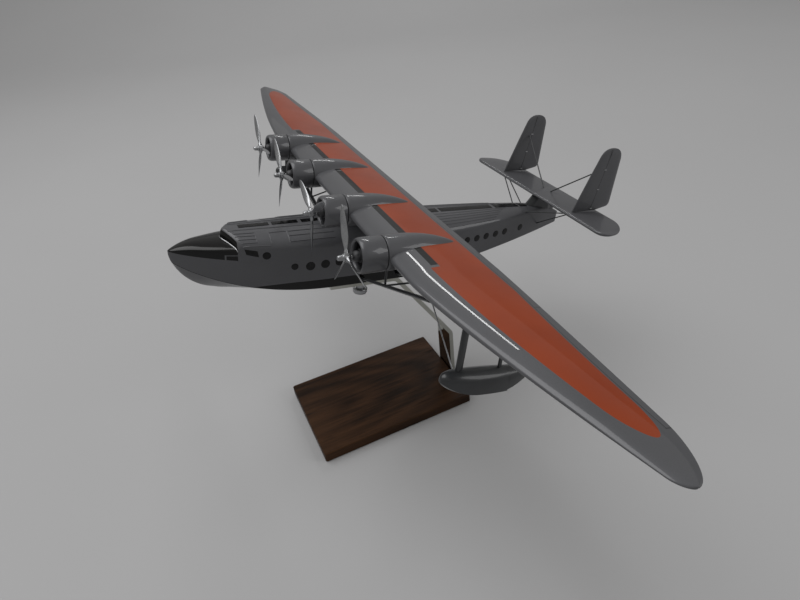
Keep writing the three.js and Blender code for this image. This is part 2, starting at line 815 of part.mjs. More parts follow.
function buildStand() {
  place(world, "base_plate", basePlate(), walnut());
  place(world, "stand_strip", standStrip(), polished());
  for (const [label, x] of [["left", -SCREW.x], ["right", SCREW.x]]) {
    place(world, `strip_screw_${label}`, stripScrew(), polished()).position.set(x, 0, SCREW.height);
  }
  place(aircraft, "keel_thumbscrew", thumbscrew(), polished());
}

function buildAircraft() {
  const hull = plainHull();
  const wing = plainWing();
  const underWing = solid(wing).translate([0, 0, -GAP]);
  const overHull = solid(hull).translate([0, 0, GAP]);
  place(aircraft, "hull", cut(hull, solid(stemCylinder(THUMBSCREW.stem + GAP))), silver());
  place(aircraft, "wing_pylon", cut(pylonBlock(), overHull, underWing), darkGrey());
  const nacelleRooms = ENGINE_X.map((x) => solid(nacelle(GAP)).translate([x, 0, 0]));
  place(aircraft, "wing", cut(wing, ...nacelleRooms), orangeWing());
  ENGINE_X.forEach((_, index) => engineUnit(index));

  const tail = solid(tailplane());
  const underTail = tail.translate([0, 0, -GAP]);
  place(aircraft, "tailplane", geometryOf(tail), silver());
  place(aircraft, "tail_pylon", tailPylon(overHull, underTail), darkGrey());

  for (const [label, side] of [["left", 1], ["right", -1]]) {
    const besideHull = solid(hull).translate([GAP * side, 0, 0]);
    mainStruts(side, label, [besideHull, underWing]);
    wingFloat(side, label, underWing);
    const finBody = fin().translate(TAIL.finX * side, 0, 0);
    place(aircraft, `fin_${label}`, finBody, silver());
    const besideFin = solid(finBody).translate([-GAP * side, 0, 0]);
    const overTail = tail.translate([0, 0, GAP]);
    tailBraces(side, label, [besideHull, overHull, underTail, overTail, besideFin]);
  }
}

buildStand();
buildAircraft();

export default world;
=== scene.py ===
"""Display model of a four-engined flying boat on a bent metal strip and a walnut plate.

Shapes are drawn in millimetres in the aircraft's own frame: x across, y aft from the propellers, z up from
the thrust line. Each mesh is then turned nose-up and put over the plate, in metres.
"""

import math

import bmesh
import bpy
from mathutils import Matrix, Vector


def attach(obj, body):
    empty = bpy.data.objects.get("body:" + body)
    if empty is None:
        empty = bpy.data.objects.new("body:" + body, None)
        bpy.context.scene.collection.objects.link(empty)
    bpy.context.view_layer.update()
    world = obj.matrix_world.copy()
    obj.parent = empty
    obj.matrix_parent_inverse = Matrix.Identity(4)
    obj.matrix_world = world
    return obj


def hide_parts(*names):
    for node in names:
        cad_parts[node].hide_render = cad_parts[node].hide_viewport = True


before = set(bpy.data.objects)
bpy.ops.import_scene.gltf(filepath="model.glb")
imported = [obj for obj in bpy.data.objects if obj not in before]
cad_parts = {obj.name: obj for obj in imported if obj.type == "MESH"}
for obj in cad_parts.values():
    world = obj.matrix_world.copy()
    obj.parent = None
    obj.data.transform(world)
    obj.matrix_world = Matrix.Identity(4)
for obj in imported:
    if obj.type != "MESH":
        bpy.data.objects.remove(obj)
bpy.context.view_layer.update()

MM = 0.001
BODY = "model_on_stand"
PITCH = math.radians(12.3)
ORIGIN = Vector((0, -30.2, 183.9)) * MM
AIR = Matrix.Translation(ORIGIN) @ Matrix.Rotation(-PITCH, 4, "X")
WORLD = Matrix.Identity(4)
ENGINE_X = (-83.5, -30.0, 30.0, 83.5)
SIDES = (("left", 1), ("right", -1))


# ---- Numbers and small helpers ----


def clamp01(value):
    return min(max(value, 0.0), 1.0)


def smooth(value):
    value = clamp01(value)
    return value * value * (3 - 2 * value)


def mix(a, b, t):
    return a + (b - a) * t


def spread(start, end, count):
    return [start + (end - start) * i / (count - 1) for i in range(count)]


# ---- Hull shape ----

NOSE, TAIL = -73.0, 199.5
HALF_BEAM = 20.5
BOW_LENGTH = 90
STEM_LENGTH = 29.5
TAPER_START = 70
STEP_Y, STEP_RISE = 75.0, 2
CHINE_Z, KEEL_Z = -54.5, -60.2
CHINE_LEVEL = 100
CHINE_NOSE_RISE = 19.7
CHINE_STERN_RISE = 17.5
ROOF_Z = -17.9
ROOF_SHOULDER = 0.45
SCREEN_Y = -45.0
SCREEN_DEPTH = 3.2
SCREEN_SWEEP = 0.53
SCREEN_NOSE_ROUND = 0.6


def hull_half(y):
    bow = clamp01((y - NOSE) / BOW_LENGTH)
    stern = clamp01((y - TAPER_START) / (TAIL + 1.5 - TAPER_START))
    return HALF_BEAM * (1 - (1 - bow) ** 2) ** 0.73 * (1 - stern**1.8)


def hull_chine(y):
    bow = clamp01((y - NOSE) / CHINE_LEVEL)
    stern = clamp01((y - STEP_Y) / (TAIL - STEP_Y))
    return CHINE_Z + CHINE_NOSE_RISE * (1 - bow) ** 2.6 + CHINE_STERN_RISE * stern**0.88


def hull_keel(y):
    if y > STEP_Y:
        return hull_chine(y) - (CHINE_Z - KEEL_Z - STEP_RISE) * (TAIL - y) / (TAIL - STEP_Y)
    stem = clamp01((NOSE + STEM_LENGTH - y) / STEM_LENGTH)
    slope = clamp01((-20 - y) / 30)
    return KEEL_Z + 4.8 * slope + 26.2 * (1 - (1 - stem**2.2) ** 0.62)


def crease(y):
    """Height of the edge between the bow deck and the side."""
    return -26.8 - 1.9 * (1 - clamp01((y - NOSE) / 14)) ** 1.6


def deck_top(y):
    return -24 - 4.6 * (1 - clamp01((y - NOSE) / 18)) ** 2 + 0.5 * clamp01((y + 55) / 11)


def roof_top(y):
    aft = clamp01((y - 20) / (TAIL - 20))
    return ROOF_Z - 3.4 * aft**1.3 - 7.4 * aft**14


def screen_foot(x):
    """Where the windscreen stands on the deck, swept back on either side of the middle."""
    return SCREEN_Y + math.sqrt(SCREEN_NOSE_ROUND + (SCREEN_SWEEP * x) ** 2)


def screen_share(lag):
    """0 on the deck, 1 on the roof, at a distance behind the windscreen's foot."""
    return (1 - (1 - clamp01(lag / SCREEN_DEPTH)) ** 2.5) ** 0.4


def arch(x, half, top, low):
    return low + (top - low) * math.sqrt(max(0.0, 1 - (x / half) ** 2))


def deck_and_roof(x, y):
    """Heights of the bow deck and of the cabin roof, each as if it ran the whole length."""
    half = hull_half(y)
    roof = roof_top(y)
    return arch(x, half, deck_top(y), crease(y)), arch(x, half, roof, roof - ROOF_SHOULDER * half)


def hull_surface(x, y):
    """Height of the hull's upper surface."""
    return mix(*deck_and_roof(x, y), screen_share(y - screen_foot(x)))


def hull_shoulder(y):
    """Height at which the flat side turns into the rounded top."""
    return hull_surface(hull_half(y), y)


def hull_side(y, z):
    """Half-breadth of the hull at a height."""
    half = hull_half(y)
    low = hull_shoulder(y)
    if z <= low:
        return half
    top = hull_surface(0, y)
    return half * math.sqrt(max(0.0, 1 - ((z - low) / (top - low)) ** 2))


# ---- Wing shape ----

LEADING, TRAILING = 18.6, 66.4
THIN, THICK = 2.6, 8.4
TIP_X, TIP_Y = 249.6, 44.5


def wing_edges(x):
    """Leading and trailing edge, with the tip rounded mostly from behind."""
    x = abs(x)
    front = LEADING + 21.5 * clamp01((x - 115) / 135) ** 1.35
    back = TRAILING - 8.2 * max(0.0, (x - 112) / 114) ** 1.2
    nose = clamp01((x - 243) / (TIP_X - 243))
    tail = clamp01((x - 224) / (TIP_X - 224))
    front = TIP_Y - (TIP_Y - front) * math.sqrt(1 - nose**2)
    return front, TIP_Y + (back - TIP_Y) * (1 - tail**1.9) ** (1 / 1.9)


def wing_rise(x):
    """The outer wing bends gently upward."""
    return 3.6 * max(0.0, (abs(x) - 110) / 140) ** 1.2


def wing_thickness(x):
    out = clamp01((abs(x) - 90) / 160)
    front, back = wing_edges(x)
    return mix(THICK, THIN, out**1.2) * min(1, (0.25 + (back - front) / 48) / 0.8)


def section_half(c):
    return 5 * (0.2969 * math.sqrt(c) - 0.126 * c - 0.3516 * c**2 + 0.2843 * c**3 - 0.1 * c**4)


def wing_point(x, c, side):
    front, back = wing_edges(x)
    middle = wing_rise(x)
    half = max(section_half(c) * wing_thickness(x), 0.12 * min(1, c * 40)) * side
    return x, front + (back - front) * c, middle + 2 * c * (1 - c) + half


def wing_height(x, y, side):
    front, back = wing_edges(x)
    return wing_point(x, clamp01((y - front) / (back - front)), side)[2]


# ---- Making objects ----


def build(name, skin, look, slot, *replaces, body=BODY, sharp=35):
    """A piece from the points and faces of a skin in the aircraft's frame, riding on a body."""
    points, faces = skin
    mesh = bpy.data.meshes.new(name)
    mesh.from_pydata([Vector(p) * MM for p in points], [], faces)
    mesh.validate()
    mesh.transform(AIR)
    work = bmesh.new()
    work.from_mesh(mesh)
    bmesh.ops.remove_doubles(work, verts=work.verts, dist=1e-6)
    bmesh.ops.recalc_face_normals(work, faces=work.faces)
    work.to_mesh(mesh)
    work.free()
    mesh.polygons.foreach_set("use_smooth", [True] * len(mesh.polygons))
    mesh.set_sharp_from_angle(angle=math.radians(sharp))
    mesh.materials.append(LOOKS[look])
    piece = bpy.data.objects.new(name, mesh)
    bpy.context.scene.collection.objects.link(piece)
    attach(piece, body)
    if replaces:
        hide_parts(*replaces)


def loft(rings, caps=True):
    """Points and faces of a skin through rings of equally many points."""
    count = len(rings[0])
    points = [p for ring in rings for p in ring]
    faces = []
    for i in range(len(rings) - 1):
        for j in range(count):
            k = (j + 1) % count
            faces.append((i * count + j, i * count + k, (i + 1) * count + k, (i + 1) * count + j))
    if caps:
        last = (len(rings) - 1) * count
        faces.append(tuple(range(count)))
        faces.append(tuple(last + j for j in range(count)))
    return points, faces


def turned(profile, segments=64, centre=(0, 0, 0), axis="y"):
    """A lathe body; the profile's points are (radius, along)."""
    rings = []
    for radius, along in profile:
        ring = []
        for i in range(segments):
            turn = 2 * math.pi * i / segments
            a, b = radius * math.cos(turn), radius * math.sin(turn)
            local = (a, along, b) if axis == "y" else (a, b, along)
            ring.append(tuple(c + v for c, v in zip(centre, local)))
        rings.append(ring)
    return loft(rings, caps=False)


def combined(parts):
    """Several (points, faces) as one."""
    points, faces = [], []
    for more_points, more_faces in parts:
        base = len(points)
        points += more_points
        faces += [tuple(base + i for i in face) for face in more_faces]
    return points, faces


def bar(start, end, chord, thickness, segments=20, teardrop=False):
    """A strut from one point to another, broad along the aircraft's y axis."""
    start, end = Vector(start), Vector(end)
    axis = (end - start).normalized()
    aft = Vector((0, 1, 0)) if abs(axis.y) < 0.9 else Vector((1, 0, 0))
    aft = (aft - axis * aft.dot(axis)).normalized()
    side = axis.cross(aft)
    rings = []
    for centre in (start, end):
        ring = []
        for i in range(segments):
            turn = 2 * math.pi * i / segments
            along = math.cos(turn) * chord / 2
            across = math.sin(turn) * thickness / 2
            if teardrop:
                across *= 1 - 0.35 * math.cos(turn)
            ring.append(tuple(centre + aft * along + side * across))
        rings.append(ring)
    return loft(rings)


def tube(path, radius, segments=12):
    """A round wire through points."""
    path = [Vector(p) for p in path]
    rings = []
    for i, point in enumerate(path):
        along = (path[min(i + 1, len(path) - 1)] - path[max(i - 1, 0)]).normalized()
        up = Vector((0, 0, 1)) if abs(along.z) < 0.9 else Vector((1, 0, 0))
        side = along.cross(up).normalized()
        up = side.cross(along)
        turns = [2 * math.pi * k / segments for k in range(segments)]
        rings.append([tuple(point + (side * math.cos(t) + up * math.sin(t)) * radius) for t in turns])
    return loft(rings)


# ---- Materials ----


class Value:
    """A socket or number with arithmetic, for masks worked out from coordinates."""

    def __init__(self, look, socket):
        self.look = look
        self.socket = socket

    def __add__(self, other):
        return self.look.math("ADD", self, other)

    def __sub__(self, other):
        return self.look.math("SUBTRACT", self, other)

    def __rsub__(self, other):
        return self.look.math("SUBTRACT", other, self)

    def __mul__(self, other):
        return self.look.math("MULTIPLY", self, other)

    def __truediv__(self, other):
        return self.look.math("DIVIDE", self, other)

    def __pow__(self, other):
        return self.look.math("POWER", self, other)

    __radd__ = __add__
    __rmul__ = __mul__


class Look:
    """A Principled material under construction."""

    def __init__(
        self, name, roughness=0.4, metallic=0.0, coat=0.0, coat_roughness=0.1, specular=0.5, place=AIR
    ):
        self.material = bpy.data.materials.new(name)
        self.material.use_nodes = True
        self.tree = self.material.node_tree
        self.shader = self.tree.nodes["Principled BSDF"]
        self.shader.inputs["Roughness"].default_value = roughness
        self.shader.inputs["Metallic"].default_value = metallic
        self.shader.inputs["Coat Weight"].default_value = coat
        self.shader.inputs["Coat Roughness"].default_value = coat_roughness
        self.shader.inputs["Specular IOR Level"].default_value = specular
        coordinates = self.tree.nodes.new("ShaderNodeTexCoord")
        back = place.inverted()
        turn = self.tree.nodes.new("ShaderNodeMapping")
        turn.inputs["Location"].default_value = back.translation
        turn.inputs["Rotation"].default_value = back.to_euler()
        self.tree.links.new(coordinates.outputs["Object"], turn.inputs["Vector"])
        self.position = turn.outputs["Vector"]

    def put(self, value, socket):
        if isinstance(value, Value):
            self.tree.links.new(value.socket, socket)
        else:
            socket.default_value = value

    def math(self, operation, *values, clamp=False):
        node = self.tree.nodes.new("ShaderNodeMath")
        node.operation = operation
        node.use_clamp = clamp
        for value, socket in zip(values, node.inputs):
            self.put(value, socket)
        return Value(self, node.outputs[0])

    def xyz(self):
        """Coordinates of the frame the look is drawn in, in millimetres."""
        split = self.tree.nodes.new("ShaderNodeSeparateXYZ")
        self.tree.links.new(self.position, split.inputs[0])
        return [Value(self, out) * 1000 for out in split.outputs]

    def absolute(self, value):
        return self.math("ABSOLUTE", value)

    def over(self, value, limit, soft=0.08):
        """1 where value is above limit, with a thin soft edge."""
        return self.math("ADD", (value - limit) / soft, 0.5, clamp=True)

    def under(self, value, limit, soft=0.08):
        return self.math("SUBTRACT", 0.5, (value - limit) / soft, clamp=True)

    def within(self, value, low, high, soft=0.08):
        return self.over(value, low, soft) * self.under(value, high, soft)

    def either(self, *masks):
        result = masks[0]
        for mask in masks[1:]:
            result = self.math("MAXIMUM", result, mask)
        return result

    def least(self, *values):
        result = values[0]
        for value in values[1:]:
            result = self.math("MINIMUM", result, value)
        return result

    def noise(self, size, detail=2.0, roughness=0.5, stretch=(1, 1, 1), offset=0.0):
        """Noise whose blobs are about size millimetres across."""
        mapping = self.tree.nodes.new("ShaderNodeMapping")
        mapping.inputs["Scale"].default_value = stretch
        mapping.inputs["Location"].default_value = (offset, offset, offset)
        self.tree.links.new(self.position, mapping.inputs["Vector"])
        node = self.tree.nodes.new("ShaderNodeTexNoise")
        node.inputs["Scale"].default_value = 1000 / size
        node.inputs["Detail"].default_value = detail
        node.inputs["Roughness"].default_value = roughness
        self.tree.links.new(mapping.outputs["Vector"], node.inputs["Vector"])
        return Value(self, node.outputs["Fac"])

    def ramp(self, value, low, high, out_low, out_high):
        node = self.tree.nodes.new("ShaderNodeMapRange")
        self.put(value, node.inputs["Value"])
        names = ("From Min", "From Max", "To Min", "To Max")
        for name, number in zip(names, (low, high, out_low, out_high)):
            node.inputs[name].default_value = number
        return Value(self, node.outputs["Result"])

    def blend(self, mask, a, b):
        """Colour a where mask is 0, b where it is 1."""
        node = self.tree.nodes.new("ShaderNodeMix")
        node.data_type = "RGBA"
        self.put(mask, node.inputs["Factor"])
        for value, socket in ((a, node.inputs[6]), (b, node.inputs[7])):
            if isinstance(value, Value):
                self.put(value, socket)
            else:
                socket.default_value = (*value, 1)
        return Value(self, node.outputs[2])

    def colour(self, value):
        self.tree.links.new(value.socket, self.shader.inputs["Base Color"])

    def bump(self, height, depth):
        """Height 0..1 as a bump of depth millimetres."""
        node = self.tree.nodes.new("ShaderNodeBump")
        node.inputs["Strength"].default_value = 1.0
        node.inputs["Distance"].default_value = depth * MM
        self.put(height, node.inputs["Height"])
        self.tree.links.new(node.outputs["Normal"], self.shader.inputs["Normal"])

    def roughness(self, value):
        self.put(value, self.shader.inputs["Roughness"])

    def metallic(self, value):
        self.put(value, self.shader.inputs["Metallic"])


SILVER = (0.104, 0.105, 0.112)
SILVER_DARK = (0.08, 0.081, 0.087)
BLACK = (0.002, 0.002, 0.0022)
ORANGE = (0.27, 0.036, 0.002)
SLATE = (0.018, 0.019, 0.0205)


def silver_parts(look):
    """Silver lacquer: its colour, its fine metal flake and its slow cloudiness."""
    flake = look.noise(0.35, 3, 0.7)
    cloud = look.noise(28, 3, 0.55)
    tint = look.ramp(flake * 0.6 + cloud * 0.4, 0.3, 0.7, 0, 1)
    return look.blend(tint, SILVER_DARK, SILVER), flake, cloud


def lacquer_finish(look, flake, cloud):
    look.roughness(look.ramp(cloud, 0.3, 0.7, 0.4, 0.52))
    look.bump(flake * 0.06 + look.noise(9, 2, 0.5, offset=7.0) * 0.5, 0.06)


def silver_lacquer():
    look = Look("silver_lacquer", metallic=0.3, coat=0.5, coat_roughness=0.03, specular=0.15)
    colour, flake, cloud = silver_parts(look)
    look.colour(colour)
    lacquer_finish(look, flake, cloud)
    return look.material


def dark_lacquer():
    look = Look("dark_lacquer", metallic=0.3, coat=0.4, coat_roughness=0.12)
    cloud = look.noise(12, 3, 0.6)
    flake = look.noise(0.4, 2, 0.7)
    look.colour(look.blend(look.ramp(cloud + flake * 0.3, 0.35, 0.9, 0, 1), SLATE, (0.032, 0.034, 0.037)))
    lacquer_finish(look, flake, cloud)
    return look.material


def gloss_black():
    look = Look("gloss_black", roughness=0.18, coat=0.3, coat_roughness=0.03, specular=0.1)
    dust = look.noise(3, 4, 0.7)
    look.colour(look.blend(look.ramp(dust, 0.45, 0.75, 0, 1), BLACK, (0.011, 0.011, 0.0115)))
    look.roughness(look.ramp(dust, 0.3, 0.7, 0.12, 0.3))
    look.bump(look.noise(6, 2, 0.5), 0.02)
    return look.material


def engine_black():
    look = Look("engine_black", metallic=0.5)
    grime = look.noise(1.6, 4, 0.65)
    look.colour(look.blend(look.ramp(grime, 0.35, 0.7, 0, 1), (0.02, 0.0205, 0.022), (0.085, 0.085, 0.09)))
    look.roughness(look.ramp(grime, 0.3, 0.7, 0.35, 0.6))
    look.bump(grime, 0.05)
    return look.material


def bright_metal():
    """Propellers and fittings: satin aluminium with fine marks along the span."""
    look = Look("bright_metal", metallic=0.95)
    streak = look.noise(0.8, 3, 0.6, stretch=(1, 1, 0.2))
    cloud = look.noise(7, 3, 0.6)
    look.colour(look.blend(look.ramp(cloud, 0.3, 0.7, 0, 1), (0.26, 0.265, 0.275), (0.38, 0.385, 0.395)))
    look.roughness(look.ramp(streak, 0.3, 0.7, 0.24, 0.36))
    look.bump(cloud, 0.02)
    return look.material


def mirror_metal():
    """The stand's strip: polished, with hairline scratches and faint smears."""
    look = Look("mirror_metal", metallic=1.0, place=WORLD)
    smear = look.noise(16, 3, 0.6)
    scratch = look.noise(0.5, 2, 0.5, stretch=(0.03, 1, 1))
    lines = look.over(scratch, 0.7, 0.1)
    look.colour(look.blend(look.ramp(smear, 0.3, 0.7, 0, 1), (0.4, 0.4, 0.36), (0.5, 0.5, 0.46)))
    look.roughness(look.ramp(smear, 0.3, 0.75, 0.03, 0.09) + lines * 0.1)
    look.bump(lines, 0.006)
    return look.material


def walnut():
    """Oiled walnut: grain along the plate's length, dark streaks and open pores."""
    look = Look("walnut", specular=0.1, place=WORLD)
    drift = look.noise(34, 3, 0.5, stretch=(1, 0.22, 1))
    band = look.noise(9, 5, 0.62, stretch=(1.2, 0.06, 1.2))
    fine = look.noise(1.4, 4, 0.7, stretch=(1.5, 0.04, 1.5))
    pores = look.over(look.noise(0.9, 2, 0.6, stretch=(1.4, 0.035, 1.4), offset=5.0), 0.63, 0.06)
    x, y, z = look.xyz()
    reach = look.math("SQRT", x * x + (y + 62) * (y + 62) * 0.12 + z * z)
    figure = look.math("SINE", reach * 0.62 + drift * 11 + band * 5) * 0.07
    tone = look.ramp(band * 0.5 + fine * 0.42 + drift * 0.3 + figure, 0.45, 0.79, 0, 1)
    base = look.blend(tone, (0.0115, 0.0054, 0.0026), (0.05, 0.023, 0.0105))
    warm = look.blend(look.ramp(drift, 0.5, 0.72, 0, 0.55), base, (0.07, 0.031, 0.0125))
    look.colour(look.blend(pores * 0.6, warm, (0.004, 0.0025, 0.0018)))
    look.roughness(look.ramp(fine, 0.3, 0.7, 0.34, 0.5) + pores * 0.15)
    look.bump(fine * 0.35 + pores * -0.8, 0.08)
    return look.material


def wing_paint():
    """Silver wing with an orange panel on top, a black stripe ahead of it and scribed control surfaces."""
    look = Look("wing_paint", coat=0.55, coat_roughness=0.025, specular=0.12)
    x, y, z = look.xyz()
    x = look.absolute(x)
    silver, flake, cloud = silver_parts(look)
    upper = look.over(z, 0.6, 0.4)

    # The orange panel's front edge steps forward outboard of the engines, then runs back towards the tip.
    inner_front, step_x = 35.3, 110.4
    outer_run = look.math("MAXIMUM", (x - step_x) / 94.6, 0.0)
    outer_front = 30.4 + outer_run**1.8 * 7.7
    outboard = look.over(x, step_x)
    front = look.math("ADD", outboard * (outer_front - inner_front), inner_front)
    rear_run = look.math("MAXIMUM", 1.0 - look.math("MAXIMUM", (x - 135) / 85, 0.0), 0.0)
    rear = 54.3 + rear_run**1.4 * 6.2
    # Rounded outer end: an ellipse about the panel's middle line.
    round_start, round_length = 213, 17.5
    end = look.math("MAXIMUM", (x - round_start) / round_length, 0.0)
    middle = (front + rear) * 0.5
    half = (rear - front) * 0.5
    keep = look.math("SQRT", look.math("MAXIMUM", 1.0 - end * end, 0.0))
    depth = half * keep - look.absolute(y - middle)
    panel = look.over(depth, 0.0) * look.under(x, round_start + round_length) * upper
    stripe = look.within(y, inner_front - 3.8, inner_front) * look.under(x, step_x - 2) * upper

    warm = look.noise(45, 2, 0.5)
    orange = look.blend(look.ramp(warm + flake * 0.15, 0.35, 0.75, 0, 1), (0.215, 0.028, 0.002), ORANGE)
    paint = look.blend(panel, silver, orange)
    paint = look.blend(stripe, paint, BLACK)

    # Scribed lines of flaps and ailerons.
    aileron_start, aileron_end = 150, 227.5
    hinge = look.absolute(y - (rear + 1.0))
    chordwise = look.least(look.absolute(x - aileron_start), look.absolute(x - aileron_end))
    chordwise = look.math("MAXIMUM", chordwise, (rear + 0.8) - y)
    spanwise = look.math("MAXIMUM", hinge, x - aileron_end)
    line = look.under(look.least(chordwise, spanwise), 0.22, 0.16)
    paint = look.blend(line * 0.7, paint, (0.014, 0.014, 0.015))
    look.colour(paint)
    pigment = look.either(panel, stripe)
    look.metallic(0.3 - pigment * 0.3)
    look.roughness(look.ramp(cloud, 0.3, 0.7, 0.4, 0.52))
    height = flake * 0.04 + look.noise(10, 2, 0.5, offset=7.0) * 0.8
    look.bump(height + pigment * 0.5 - line * 2.0, 0.05)
    return look.material


def hull_paint():
    """Silver hull: black bow deck, black line along the chine, black planing bottom."""
    look = Look("hull_paint", coat=0.4, coat_roughness=0.03, specular=0.12)
    x, y, z = look.xyz()
    x = look.absolute(x)
    silver, flake, cloud = silver_parts(look)

    swept = x * SCREEN_SWEEP
    lag = y - SCREEN_Y - look.math("SQRT", swept * swept + SCREEN_NOSE_ROUND)
    lower = -29.0 - (y + 72) * 0.094
    deck = look.under(lag, 0.02, 0.03) * look.over(z, lower)
    post = look.within(y, -44.4, -43.5) * look.under(z, -28.7)
    rail = look.over(y, -44.4) * look.within(z, -29.3, -28.75)
    side_end = look.over(y, -37.4) * look.under(z, -26.9)
    deck = deck * (1.0 - look.either(post, rail, side_end))

    ahead = look.math("MAXIMUM", 1.0 - (y - NOSE) / CHINE_LEVEL, 0.0)
    chine = ahead**2.6 * CHINE_NOSE_RISE + CHINE_Z
    line = look.under(look.absolute(z - chine - 0.1), 0.2) * look.under(y, -25)
    slack = look.math("MAXIMUM", 0.0 - (y + 4) / 26, 0.0)
    waterline = -48.2 - look.math("MINIMUM", slack**1.4, 1.0) * 1.5
    bottom = look.under(z - waterline, 0.0) * look.over(y, -33) * look.under(y, 73.5)

    black = look.either(deck, line, bottom)
    look.colour(look.blend(black, silver, BLACK))
    look.metallic(0.3 - black * 0.3)
    look.roughness(look.ramp(cloud, 0.3, 0.7, 0.4, 0.52) - black * 0.25)
    height = flake * 0.05 + look.noise(8, 2, 0.5, offset=7.0) * 0.7
    look.bump(height + black * 0.4, 0.05)
    return look.material


LOOKS = {
    "silver": silver_lacquer(),
    "dark": dark_lacquer(),
    "black": gloss_black(),
    "engine": engine_black(),
    "bright": bright_metal(),
    "mirror": mirror_metal(),
    "walnut": walnut(),
    "wing": wing_paint(),
    "hull": hull_paint(),
}


# ---- Hull and what is on it ----


def hull_ring(station):
    """Outline of the hull at a station; near the windscreen its points lie back with the screen's sweep."""
    swing = smooth((station + 70) / 22) * (1 - smooth((station + 40) / 28))

    def upper(turn):
        x, y = 0.0, station
        for _ in range(6):
            y = station + swing * (screen_foot(x) - screen_foot(0))
            x = hull_half(y) * math.cos(turn)
        return x, y

    x, y = upper(0)
    keel = hull_keel(y)
    chine = max(hull_chine(y), keel + 0.01)
    low = hull_surface(x, y)
    right = [(x * s, y, mix(keel, chine, s**1.15)) for s in (0.25, 0.5, 0.75, 0.95, 1.0)]
    right += [(x, y, mix(chine, low, s)) for s in (0.06, 0.3, 0.55, 0.8, 0.95)]
    for turn in spread(0, math.pi / 2, 30)[:-1]:
        x, y = upper(turn)
        right.append((x, y, hull_surface(x, y)))
    left = [(-x, y, z) for x, y, z in reversed(right)]
    return [(0, right[0][1], keel)] + right + [(0, station, hull_surface(0, station))] + left


def make_hull():
    foot = screen_foot(0)
    bow = [NOSE + d for d in (0.12, 0.4, 0.9, 1.6, 2.6, 4)]
    lags = (0.001, 0.02, 0.06, 0.12, 0.2, 0.3, 0.45, 0.65, 0.9, 1.2, 1.6, 2.1, 2.6, SCREEN_DEPTH)
    screen = [foot + d for d in lags]
    stations = bow + spread(NOSE + 5.5, foot - 0.3, 30) + [foot - 0.02] + screen
    stations += spread(foot + 4, STEP_Y, 90) + [STEP_Y + 0.35] + spread(STEP_Y + 2, TAIL, 66)
    skin = loft([hull_ring(station) for station in stations])
    build("hull_shell", skin, "hull", "silver_lacquer", "hull", sharp=24)


def plate_on(surface, outline_rows, thickness):
    """A thin plate from rows of surface parameters: surface(u, v, lift) gives a point."""
    top = [[surface(u, v, thickness) for u, v in row] for row in outline_rows]
    under = [[surface(u, v, -0.25) for u, v in row] for row in outline_rows]
    return loft([a + list(reversed(b)) for a, b in zip(top, under)])


def screen_point(x, share, lift):
    """A point of the windscreen, lifted off it towards the nose."""
    lag = SCREEN_DEPTH * (1 - (1 - share**2.5) ** 0.4)
    y = screen_foot(x) + lag
    return x, y - lift, mix(*deck_and_roof(x, y), share)


def roof_point(x, y, lift):
    return x, y, hull_surface(x, y) + lift


def make_cockpit():
    """Wrap-round windscreen glass, its silver sill and the skylights along the roof."""
    rows = []
    for x in spread(-15.0, 15.0, 61):
        end = smooth((15.4 - abs(x)) / 3)
        low, high = 0.05, 0.12 + 0.7 * end
        rows.append([(x, mix(low, high, s)) for s in spread(0, 1, 8)])
    build("windscreen_glass", plate_on(screen_point, rows, 0.12), "black", "dark_lacquer")

    def sill(x):
        y = screen_foot(x) - 0.2
        return x, y, hull_surface(x, y) + 0.12

    path = [sill(x) for x in spread(-14.9, 14.9, 70)]
    build("windscreen_sill", tube(path, 0.36, 10), "bright", "silver_metal")

    parts = []
    runs = [(-34, -16.4), (-14.6, 0.9), (3.2, 17.5), (64, 96), (98, 138.6), (141.4, 160.8), (162.4, 168.4)]
    for start, end in runs:
        width = 2.0 if start < 40 else 2.9
        rows = [[(x, y) for x in spread(-width, width, 7)] for y in spread(start, end, 40)]
        parts.append(plate_on(roof_point, rows, 0.2))
    build("roof_skylights", combined(parts), "black", "dark_lacquer")


def hull_skin(y, z, lift, side):
    return side * (hull_side(y, z) + lift), y, z


def side_disc(y, z, radius, lift, side):
    """A thin lens that lies on the hull's side."""
    turns = [2 * math.pi * i / 24 for i in range(24)]
    rings = [[hull_skin(y, z, lift + 0.12, side)] * len(turns)]
    for share, out in ((0.6, 0.12), (0.92, 0.1), (1.0, 0.02), (1.0, -0.3)):
        r = radius * share
        rings.append([hull_skin(y + r * math.cos(t), z + r * math.sin(t), lift + out, side) for t in turns])
    return loft(rings, caps=False)


def side_panel(corners, lift, side):
    """A four-cornered pane that follows the hull's side; corners are (y, z), round the outline."""
    a, b, c, d = (Vector(corner) for corner in corners)
    rings = []
    for s in spread(0, 1, 9):
        top, low = a.lerp(b, s), d.lerp(c, s)
        outer = [hull_skin(*top.lerp(low, t), lift, side) for t in (0, 0.25, 0.5, 0.75, 1)]
        inner = [hull_skin(*top.lerp(low, t), lift - 0.5, side) for t in (1, 0.5, 0)]
        rings.append(outer + inner)
    return loft(rings)


# Round windows as (y, z, radius).
FRONT_PORTS = (
    (-6.0, -37.7, 2.1),
    (3.3, -38.2, 2.8),
    (12.4, -37.8, 2.75),
    (21.4, -37.3, 2.75),
    (30.4, -37, 2.75),
)
REAR_PORT_Y = (87.5, 95.7, 103.9, 112.1, 120.3, 128.4, 136.8, 145.3, 160.3)
REAR_PORTS = tuple((y, -34.8 + 0.025 * (y - 112), 2.4) for y in REAR_PORT_Y)


